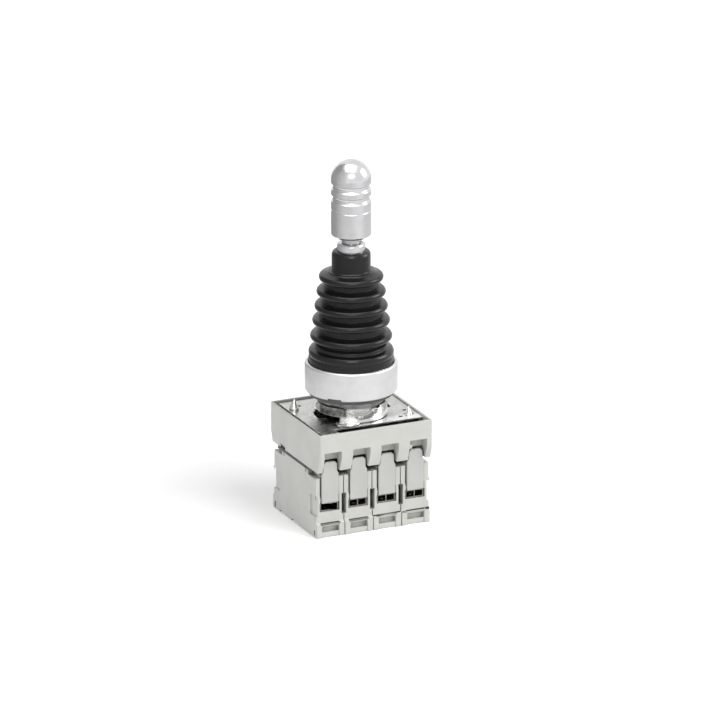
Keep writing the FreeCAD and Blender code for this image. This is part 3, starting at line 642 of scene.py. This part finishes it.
# Panel seal. A flat ring of dark grey rubber, moulded, that is pressed between the operator's flange
# and the panel.

SEAL_LIGHT = (0.150, 0.150, 0.150, 1)
SEAL_DEEP = (0.105, 0.105, 0.105, 1)
SEAL_EASE = 0.15
FOLD_REACH = 4.0
RUBBER_SHINE = 0.36


def moulded_rubber(name, light, deep, rough, grain):
    """Moulded rubber: slow drifts of tone, a faint dusty bloom, a fine pitted skin and dull folds."""
    material, shader, place = new_finish(name)
    drift = noise(material, place, 0.22, detail=3)
    bloom = noise(material, place, 1.6, detail=4, roughness=0.6)
    pits = noise(material, place, 8, detail=3)
    gloss = between(material, bloom, rough - 0.05, rough + 0.08)
    dull = between(material, openness(material, FOLD_REACH), 1, 0, 0.25, 0.6)
    shader.inputs["Specular IOR Level"].default_value = RUBBER_SHINE
    feed(
        material,
        shader,
        Base_Color=tones(material, drift, [(0.35, deep), (0.65, light)]),
        Roughness=mixed(material, dull, gloss, WHITE),
        Normal=relief(material, pits, grain),
    )
    return material


seal_rubber = moulded_rubber("grey rubber", SEAL_LIGHT, SEAL_DEEP, 0.45, 0.008)
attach(eased_copy("panel_gasket", SEAL_EASE, seal_rubber), "housing")


# Bezel ring. A satin metal ring pressed over the flange, with a raised bright rim round the foot of
# the bellows. It is turned and then blasted.

SATIN_LIGHT = (0.76, 0.76, 0.762, 1)
SATIN_DEEP = (0.72, 0.72, 0.723, 1)
BEZEL_EASE = 0.2

satin = turned_metal("satin bezel", SATIN_LIGHT, SATIN_DEEP, 0.34, 7, 0.004)
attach(eased_copy("bezel_ring", BEZEL_EASE, satin, steps=3), "housing")


# Gimbal and lever. A cast ring on two trunnions, a ground shaft pinned in it with a pivot hub, and a
# stamped cam plate held on the lower end by a riveted washer.

CAST_LIGHT = (0.62, 0.62, 0.63, 1)
CAST_MIDDLE = (0.57, 0.57, 0.57, 1)
CAST_DEEP = (0.50, 0.50, 0.51, 1)
GROUND_LIGHT = (0.56, 0.56, 0.57, 1)
GROUND_DEEP = (0.48, 0.48, 0.49, 1)
STAMPED_LIGHT = (0.66, 0.66, 0.66, 1)
STAMPED_DEEP = (0.55, 0.55, 0.55, 1)
SHAFT_EASE = 0.10
WASHER_EASE = 0.08
STEEL_EASE = 0.12

cast_metal = zinc_plated("cast metal", CAST_LIGHT, CAST_DEEP, CAST_MIDDLE, 0.42, 0.8)
ground_steel = turned_metal("ground steel", GROUND_LIGHT, GROUND_DEEP, 0.22, 9, 0.004)
stamped_steel = stamped_metal("stamped steel", STAMPED_LIGHT, STAMPED_DEEP, 0.34)
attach(eased_copy("gimbal_ring", STEEL_EASE, cast_metal), "gimbal")
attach(eased_copy("lever_shaft", SHAFT_EASE, ground_steel), "lever")
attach(eased_copy("pivot_pin", STEEL_EASE, ground_steel), "lever")
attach(eased_copy("cam_plate", STEEL_EASE, stamped_steel), "lever")
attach(eased_copy("cam_washer", WASHER_EASE, stamped_steel), "lever")


# Return spring. A cone of steel wire between the stamped disc on the operator and a stamped cap on
# the shaft; it brings the lever upright. Like the bellows it is made in two lengths.

RETURN_R = (6.8, 4.7)
RETURN_Z = (51.75, 79.0)
RETURN_TURNS = 6
RETURN_WIRE = 0.5
BEND_Z = (52.6, 68.5, 84.5)

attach(eased_copy("bellows_retainer", STEEL_EASE, stamped_steel), "housing")
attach(eased_copy("spring_cap", STEEL_EASE, stamped_steel), "lever")
wire_z = (RETURN_Z[0] + RETURN_WIRE, RETURN_Z[1] - RETURN_WIRE)
meeting = (BEND_Z[1] - wire_z[0]) / (wire_z[1] - wire_z[0])
for label, share, bodies, span in [
    ("low", (0.0, meeting), ("housing", "gimbal"), BEND_Z[:2]),
    ("high", (meeting, 1.0), ("gimbal", "lever"), BEND_Z[1:]),
]:
    points, faces = wound_wire(RETURN_R, wire_z, RETURN_TURNS, RETURN_WIRE, sides=12, steps=40, share=share)
    wire = mesh_piece("return_spring_" + label, points, faces, spring_steel)
    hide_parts("return_spring")
    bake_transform(wire)


# Bellows. One rubber moulding of five round-edged discs between a cuff, clamped by the nut, and a
# foot that stands inside the bezel's rim. It is made in two lengths that meet on a groove's wall.

RUBBER_LIGHT = (0.0085, 0.0087, 0.0092, 1)
RUBBER_DEEP = (0.0058, 0.0060, 0.0065, 1)
WALL = 0.9
DEPTH = 2.7
RIM = 1.15
UPPER_SLOPE = 0.55
LOWER_SLOPE = 0.35
CUFF_R = 6.25
CUFF_IN = 4.55
CUFF_Z = 89.5
FOOT_R = 13.65
FOOT_IN = 12.45
FOOT_Z = (51.05, 56.7)
WAIST_Z = (54.2, 54.7, 55.2)
WAIST_DEPTH = 0.15
SHOULDER = [(0, -0.7), (0.4, 0), (1.9, 0.55), (2.1, 1.5)]
SHOULDER_TOP = 2.0
SHOULDER_IN = (2.0, 0.4)
CUFF_FOOT = [(1.0, 0.35), (0.5, 0.3), (0, 0.7)]
CUFF_LIP = [(0, 1.1), (0.4, 0.3), (1.1, 0)]
OUTSIDE_EASE = 0.35
INSIDE_EASE = 0.3
CRESTS = np.array([(13.15, 60.9), (12.45, 66.1), (11.75, 70.9), (11.1, 75.8), (10.35, 80.7)])
ROOTS = np.concatenate([CRESTS[:1, 0], (CRESTS[1:, 0] + CRESTS[:-1, 0]) / 2, CRESTS[-1:, 0]]) - DEPTH


def eased_outline(points, ease, closed, step=0.05, turn=4.0):
    """Outline of (radius, height) points with its corners rounded.

    The outline is walked in even steps and averaged over a window of a rounded hill shape as wide
    as the easing. Then a point is kept wherever the turning so far passes a further few degrees.
    """
    points = np.array(points + points[:1] if closed else points, float)
    reach = np.concatenate([[0], np.cumsum(np.linalg.norm(np.diff(points, axis=0), axis=1))])
    if closed:
        even = np.arange(0, reach[-1], step)
    else:
        even = np.linspace(0, reach[-1], int(reach[-1] / step) + 1)
    walked = np.stack([np.interp(even, reach, points[:, column]) for column in (0, 1)], 1)
    half = max(int(ease / step), 1)
    hill = np.hanning(2 * half + 3)[1:-1]
    hill /= hill.sum()
    if closed:
        padded = np.pad(walked, ((half, half), (0, 0)), mode="wrap")
    else:
        padded = np.pad(walked, ((half, half), (0, 0)), mode="reflect", reflect_type="odd")
    smooth = np.stack([np.convolve(padded[:, column], hill, "valid") for column in (0, 1)], 1)
    heading = np.unwrap(np.arctan2(*np.gradient(smooth, axis=0).T[::-1]))
    spent = np.floor(np.cumsum(np.abs(np.gradient(heading))) / math.radians(turn))
    keep = np.diff(spent, prepend=-1) != 0
    keep |= np.roll(keep, -1)
    keep[0] = keep[-1] = True
    return smooth[keep]


def turned_piece(name, outline, finish, sides=144, sharp=40):
    """Surface turned about the lever's axis: point (i, j) is at the outline's radius j and height j,
    at the angle 2 pi i / sides. An outline that starts and ends on the axis is closed by one point
    at each pole, and any other joins its end to its start."""
    outline = np.asarray(outline, float)
    poles = outline[0, 0] < 1e-6 and outline[-1, 0] < 1e-6
    rings = outline[1:-1] if poles else outline
    count = len(rings)
    angle = np.linspace(0, 2 * np.pi, sides, endpoint=False)
    x = rings[:, :1] * np.cos(angle)
    y = rings[:, :1] * np.sin(angle)
    z = np.repeat(rings[:, 1:], sides, 1)
    points = np.stack([x, y, z], -1).reshape(-1, 3)
    bands = count - 1 if poles else count
    row, side = np.meshgrid(np.arange(bands), np.arange(sides), indexing="ij")
    here, up = row * sides, (row + 1) % count * sides
    beside = (side + 1) % sides
    faces = np.stack([here + side, here + beside, up + beside, up + side], -1).reshape(-1, 4).tolist()
    if poles:
        low, high, ring = count * sides, count * sides + 1, np.arange(sides)
        nxt, top = (ring + 1) % sides, (count - 1) * sides
        points = np.concatenate([points, [[0, 0, outline[0, 1]], [0, 0, outline[-1, 1]]]])
        faces += np.stack([np.full(sides, low), nxt, ring], 1).tolist()
        faces += np.stack([np.full(sides, high), top + ring, top + nxt], 1).tolist()
    return mesh_piece(name, points, faces, finish, sharp)


def bellows_outside():
    """Outside of the bellows from the foot up. The rim of each disc is half a circle, and two gentle
    cones run from it in to the upright walls of the grooves. The foot's shoulder and the cuff are
    given by how far in or out, and how far up or down, their points lie."""
    turn = np.linspace(-np.pi / 2, np.pi / 2, 25)
    line = [(FOOT_IN + 0.3, FOOT_Z[0]), (FOOT_R, FOOT_Z[0])]
    line += zip((FOOT_R, FOOT_R - WAIST_DEPTH, FOOT_R), WAIST_Z)
    line += [(FOOT_R - inward, FOOT_Z[1] + up) for inward, up in SHOULDER]
    line.append((ROOTS[0], FOOT_Z[1] + SHOULDER_TOP))
    for (crest_r, crest_z), below, above in zip(CRESTS, ROOTS, ROOTS[1:]):
        line.append((below, crest_z - RIM - LOWER_SLOPE))
        line += np.stack([crest_r - RIM + RIM * np.cos(turn), crest_z + RIM * np.sin(turn)], 1).tolist()
        line.append((above, crest_z + RIM + UPPER_SLOPE))
    ridge_z = CRESTS[-1, 1] + RIM + UPPER_SLOPE
    line += [(CUFF_R + outward, ridge_z + up) for outward, up in CUFF_FOOT]
    line += [(CUFF_R - inward, CUFF_Z - down) for inward, down in CUFF_LIP]
    return line + [(CUFF_IN + 0.1, CUFF_Z)]


def bellows_inside():
    """Inside of the bellows from the foot up: upright walls with a pointed fold out into each disc."""
    fold = RIM + UPPER_SLOPE - WALL
    line = [(FOOT_IN, FOOT_Z[0]), (FOOT_IN, FOOT_Z[1] - SHOULDER_IN[0])]
    line.append((ROOTS[0] - WALL, FOOT_Z[1] - SHOULDER_IN[1]))
    for (crest_r, crest_z), below, above in zip(CRESTS, ROOTS, ROOTS[1:]):
        tip_r = crest_r - 1.5 * WALL
        line += [(below - WALL, crest_z - fold), (tip_r, crest_z - fold / 3)]
        line += [(tip_r, crest_z + fold / 3), (above - WALL, crest_z + fold)]
    return line + [(CUFF_IN, CRESTS[-1, 1] + 2 * WALL), (CUFF_IN, CUFF_Z)]


def cut_line(line, height):
    """The parts of a rising line under and over a height; both have the point at that height."""
    over = int(np.argmax(line[:, 1] > height))
    share = (height - line[over - 1, 1]) / (line[over, 1] - line[over - 1, 1])
    meeting = line[over - 1] + share * (line[over] - line[over - 1])
    return np.vstack([line[:over], meeting]), np.vstack([meeting, line[over:]])


rubber = moulded_rubber("black rubber", RUBBER_LIGHT, RUBBER_DEEP, 0.22, 0.006)
outside_line = eased_outline(bellows_outside(), OUTSIDE_EASE, closed=False)
inside_line = eased_outline(bellows_inside(), INSIDE_EASE, closed=False)
outside_low, outside_high = cut_line(outside_line, BEND_Z[1])
inside_low, inside_high = cut_line(inside_line, BEND_Z[1])
for label, outside, inside, bodies, span in [
    ("low", outside_low, inside_low, ("housing", "gimbal"), BEND_Z[:2]),
    ("high", outside_high, inside_high, ("gimbal", "lever"), BEND_Z[1:]),
]:
    outline = np.vstack([outside, inside[::-1]])
    half = turned_piece("bellows_" + label, outline, rubber, sides=120, sharp=65)
    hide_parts("bellows")
    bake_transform(half)


# Collar nut. A turned and chromed nut round the shaft, whose lower part clamps the bellows' cuff. It
# is drawn as a smooth turned surface, because its reflections show every facet.

CHROME_LIGHT = (0.70, 0.70, 0.71, 1)
CHROME_DEEP = (0.65, 0.65, 0.66, 1)
NUT_R = 4.5
NUT_IN = 3.02
NUT_Z = (84.5, 92.0)
NUT_CHAMFER = 0.5
NUT_TOP_CHAMFER = 0.45
NUT_SINK = 0.4
NUT_EASE = 0.2

chrome = turned_metal("bright chrome", CHROME_LIGHT, CHROME_DEEP, 0.24, 3, 0.002)
nut_outline = [
    (NUT_IN, NUT_Z[0]),
    (NUT_R - NUT_CHAMFER, NUT_Z[0]),
    (NUT_R, NUT_Z[0] + NUT_CHAMFER),
    (NUT_R, NUT_Z[1] - NUT_CHAMFER),
    (NUT_R - NUT_TOP_CHAMFER, NUT_Z[1]),
    (NUT_IN + NUT_CHAMFER, NUT_Z[1]),
    (NUT_IN + NUT_SINK, NUT_Z[1] - NUT_SINK),
    (NUT_IN, NUT_Z[1] - NUT_SINK),
]
nut = turned_piece("lever_nut_chrome", eased_outline(nut_outline, NUT_EASE, closed=True), chrome)
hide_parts("lever_nut")
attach(nut, "lever")


# Knob. A polished metal knob with a round top, turned with two gripping grooves and a fine line, and
# screwed on the shaft's stud.

POLISHED_LIGHT = (0.71, 0.71, 0.72, 1)
POLISHED_DEEP = (0.66, 0.66, 0.67, 1)
KNOB_R = 6.4
KNOB_Z = (94.3, 119.6)
KNOB_BORE = 2.52
KNOB_BORE_Z = 107.3
GROOVE_R = 1.25
GROOVE_OUT = 0.6
GROOVE_Z = (107.1, 110.9)
LINE_Z = 103.1
LINE_HALF = 0.25
KNOB_CHAMFER = 0.7
KNOB_EASE = 0.2


def knob_outline():
    """Half outline of the knob from its bore, down, out and up to the top.

    Each groove is an arc of a circle whose middle stands just outside the wall, and the top is a
    quarter circle of the knob's own radius.
    """
    dome_z = KNOB_Z[1] - KNOB_R
    mouth = math.acos(GROOVE_OUT / GROOVE_R)
    bend = np.linspace(-mouth, mouth, 25)
    line = [(0, KNOB_BORE_Z), (KNOB_BORE, KNOB_BORE_Z), (KNOB_BORE, KNOB_Z[0])]
    line += [(KNOB_R - KNOB_CHAMFER, KNOB_Z[0]), (KNOB_R, KNOB_Z[0] + KNOB_CHAMFER)]
    line += [(KNOB_R, LINE_Z - LINE_HALF), (KNOB_R - LINE_HALF, LINE_Z), (KNOB_R, LINE_Z + LINE_HALF)]
    for z in GROOVE_Z:
        inward = KNOB_R + GROOVE_OUT - GROOVE_R * np.cos(bend)
        line += np.stack([inward, z + GROOVE_R * np.sin(bend)], 1).tolist()
    turn = np.linspace(0, np.pi / 2, 60)
    line += np.stack([KNOB_R * np.cos(turn), dome_z + KNOB_R * np.sin(turn)], 1).tolist()
    return [tuple(point) for point in line]


polished = turned_metal("polished knob", POLISHED_LIGHT, POLISHED_DEEP, 0.16, 6, 0.003)
knob_line = eased_outline(knob_outline(), KNOB_EASE, closed=False, turn=3.0)
knob = turned_piece("knob_polished", knob_line, polished, sides=160)
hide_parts("knob")
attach(knob, "lever")


# Studio. A plain white floor under a soft overhead light, a weaker one from the left, three softboxes
# and a grey screen that only glossy surfaces mirror. The camera looks from the front left.


def plain_mesh(name, points, faces):
    """Flat object from a few points in metres."""
    mesh = bpy.data.meshes.new(name)
    mesh.from_pydata(points, [], faces)
    made = bpy.data.objects.new(name, mesh)
    bpy.context.scene.collection.objects.link(made)
    return made


def facing(made, place, target):
    """Puts an object at a place and points it at a target."""
    made.location = place
    made.rotation_mode = "QUATERNION"
    made.rotation_quaternion = (Vector(target) - Vector(place)).to_track_quat("-Z", "Y")


def any_ray(owner, *kinds):
    """1 for rays of any of the kinds, such as Is Camera Ray, and 0 for the rest."""
    path = add_node(owner, "ShaderNodeLightPath").outputs
    found = path[kinds[0]]
    for kind in kinds[1:]:
        found = combined(owner, "MAXIMUM", found, path[kind])
    return found


FLOOR_HALF = 4
FLOOR_WHITE = (0.94, 0.94, 0.94, 1)
FLOOR_GLOW = 0.30

corners = [(FLOOR_HALF * x, FLOOR_HALF * y, 0) for x, y in ((-1, -1), (1, -1), (1, 1), (-1, 1))]
floor = plain_mesh("floor", corners, [(0, 1, 2, 3)])
floor_paint, floor_shader, _ = new_finish("white floor", roughness=0.9)
floor_shader.inputs["Base Color"].default_value = FLOOR_WHITE
floor_shader.inputs["Specular IOR Level"].default_value = 0.0
floor_shader.inputs["Emission Color"].default_value = WHITE
mirrored = any_ray(floor_paint, "Is Camera Ray", "Is Glossy Ray")
feed(floor_paint, floor_shader, Emission_Strength=combined(floor_paint, "MULTIPLY", mirrored, FLOOR_GLOW))
floor.data.materials.append(floor_paint)

# The screen is a ring just over the floor with an upright wall on its left. Each level is a grey at an
# azimuth in degrees, counted on from the seam of the gradient.
SCREEN_R = (0.14, 0.9)
SCREEN_LOW = 0.001
SCREEN_HIGH = 1.3
SCREEN_SIDES = 96
WALL_TURN = (100, 215)
WALL_SIDES = 31
SCREEN_SEAM = 240
SCREEN_LEVELS = [
    (245, 0.84),
    (275, 0.95),
    (286, 1.0),
    (305, 1.0),
    (318, 0.94),
    (333, 0.84),
    (371, 0.80),
    (405, 0.80),
    (435, 0.34),
    (490, 0.42),
    (510, 0.45),
    (525, 0.57),
    (540, 0.65),
    (552, 0.73),
    (575, 0.82),
]

screen_points, screen_faces = [], []
full_turn = np.linspace(0, 2 * math.pi, SCREEN_SIDES, endpoint=False)
wall_turn = np.radians(np.linspace(*WALL_TURN, WALL_SIDES + 1))
wall_rows = [(SCREEN_R[1], SCREEN_LOW), (SCREEN_R[1], SCREEN_HIGH)]
for azimuths, rows in ((full_turn, [(r, SCREEN_LOW) for r in SCREEN_R]), (wall_turn, wall_rows)):
    first, count = len(screen_points), len(azimuths)
    screen_points += [(r * math.cos(turn), r * math.sin(turn), z) for r, z in rows for turn in azimuths]
    for here in range(count if azimuths is full_turn else count - 1):
        after = (here + 1) % count
        screen_faces.append((first + here, first + count + here, first + count + after, first + after))
screen = plain_mesh("dark_screen", screen_points, screen_faces)
screen_paint, screen_shader, _ = new_finish("dark screen", roughness=1.0)
place = add_node(screen_paint, "ShaderNodeTexCoord").outputs["Object"]
seam_turn = (0, 0, math.radians(180 - SCREEN_SEAM))
spun = add_node(screen_paint, "ShaderNodeMapping", Vector=place, Rotation=seam_turn)
sweep = add_node(screen_paint, "ShaderNodeTexGradient", Vector=spun.outputs["Vector"])
sweep.gradient_type = "RADIAL"
grey_stops = [((turn - SCREEN_SEAM) / 360, (level, level, level, 1)) for turn, level in SCREEN_LEVELS]
screen_shader.inputs["Base Color"].default_value = BLACK
screen_shader.inputs["Specular IOR Level"].default_value = 0.0
screen_shader.inputs["Emission Strength"].default_value = 1.0
feed(screen_paint, screen_shader, Emission_Color=tones(screen_paint, sweep.outputs["Fac"], grey_stops))
screen.data.materials.append(screen_paint)
screen.visible_camera = False
screen.visible_diffuse = False
screen.visible_shadow = False

WORLD_FILL = 0.45

world = bpy.data.worlds.new("white surround")
bpy.context.scene.world = world
world.use_nodes = True
surround = world.node_tree.nodes["Background"]
surround.inputs["Color"].default_value = WHITE
direct = any_ray(world, "Is Camera Ray", "Is Glossy Ray", "Is Transmission Ray")
feed(world, surround, Strength=between(world, direct, WORLD_FILL, 1.0, 0, 1))


def lamp(name, kind, energy, place, target=(0, 0, 0.06), size=(1, 1)):
    """Lamp at a place, aimed at a target. size is an area lamp's two sides, or the angle in degrees
    that a sun lamp fills."""
    data = bpy.data.lights.new(name, kind)
    data.energy = energy
    if kind == "AREA":
        data.shape = "RECTANGLE"
        data.size, data.size_y = size
    else:
        data.angle = math.radians(size[0])
    made = bpy.data.objects.new(name, data)
    bpy.context.scene.collection.objects.link(made)
    facing(made, place, target)
    made.visible_camera = False
    return made


main_light = lamp("main light", "SUN", 1.68, (0.35, -0.60, 0.80), size=(35,))
main_light.visible_glossy = False
left_fill = lamp("left fill", "SUN", 0.42, (-0.90, -0.15, 0.40), size=(60,))
left_fill.visible_glossy = False
boxes = [
    lamp("top box", "AREA", 4.5, (-0.06, -0.10, 0.95), size=(0.8, 0.7)),
    lamp("front box", "AREA", 1.6, (-0.30, -0.75, 0.62), size=(0.42, 0.30)),
    lamp("right box", "AREA", 3.0, (0.80, -0.24, 0.48), size=(0.45, 0.50)),
]
for box in boxes:
    box.visible_diffuse = False

AZIMUTH = math.radians(-24.67)
ELEVATION = math.radians(18.85)
DISTANCE = 3.0
VIEW_WIDTH = 0.2304
AIM_Z = 0.05235
AIM_RIGHT = 0.00282
SENSOR = 36

back = Vector((
    math.sin(AZIMUTH) * math.cos(ELEVATION),
    -math.cos(AZIMUTH) * math.cos(ELEVATION),
    math.sin(ELEVATION),
))
right = Vector((math.cos(AZIMUTH), math.sin(AZIMUTH), 0))
aim = Vector((0, 0, AIM_Z)) + right * AIM_RIGHT
lens = bpy.data.cameras.new("camera")
lens.sensor_width = SENSOR
lens.lens = SENSOR * DISTANCE / VIEW_WIDTH
lens.clip_start = 0.1
lens.clip_end = 50
camera = bpy.data.objects.new("camera", lens)
bpy.context.scene.collection.objects.link(camera)
facing(camera, aim + back * DISTANCE, aim)
bpy.context.scene.camera = camera
bpy.context.scene.view_settings.view_transform = "Standard"
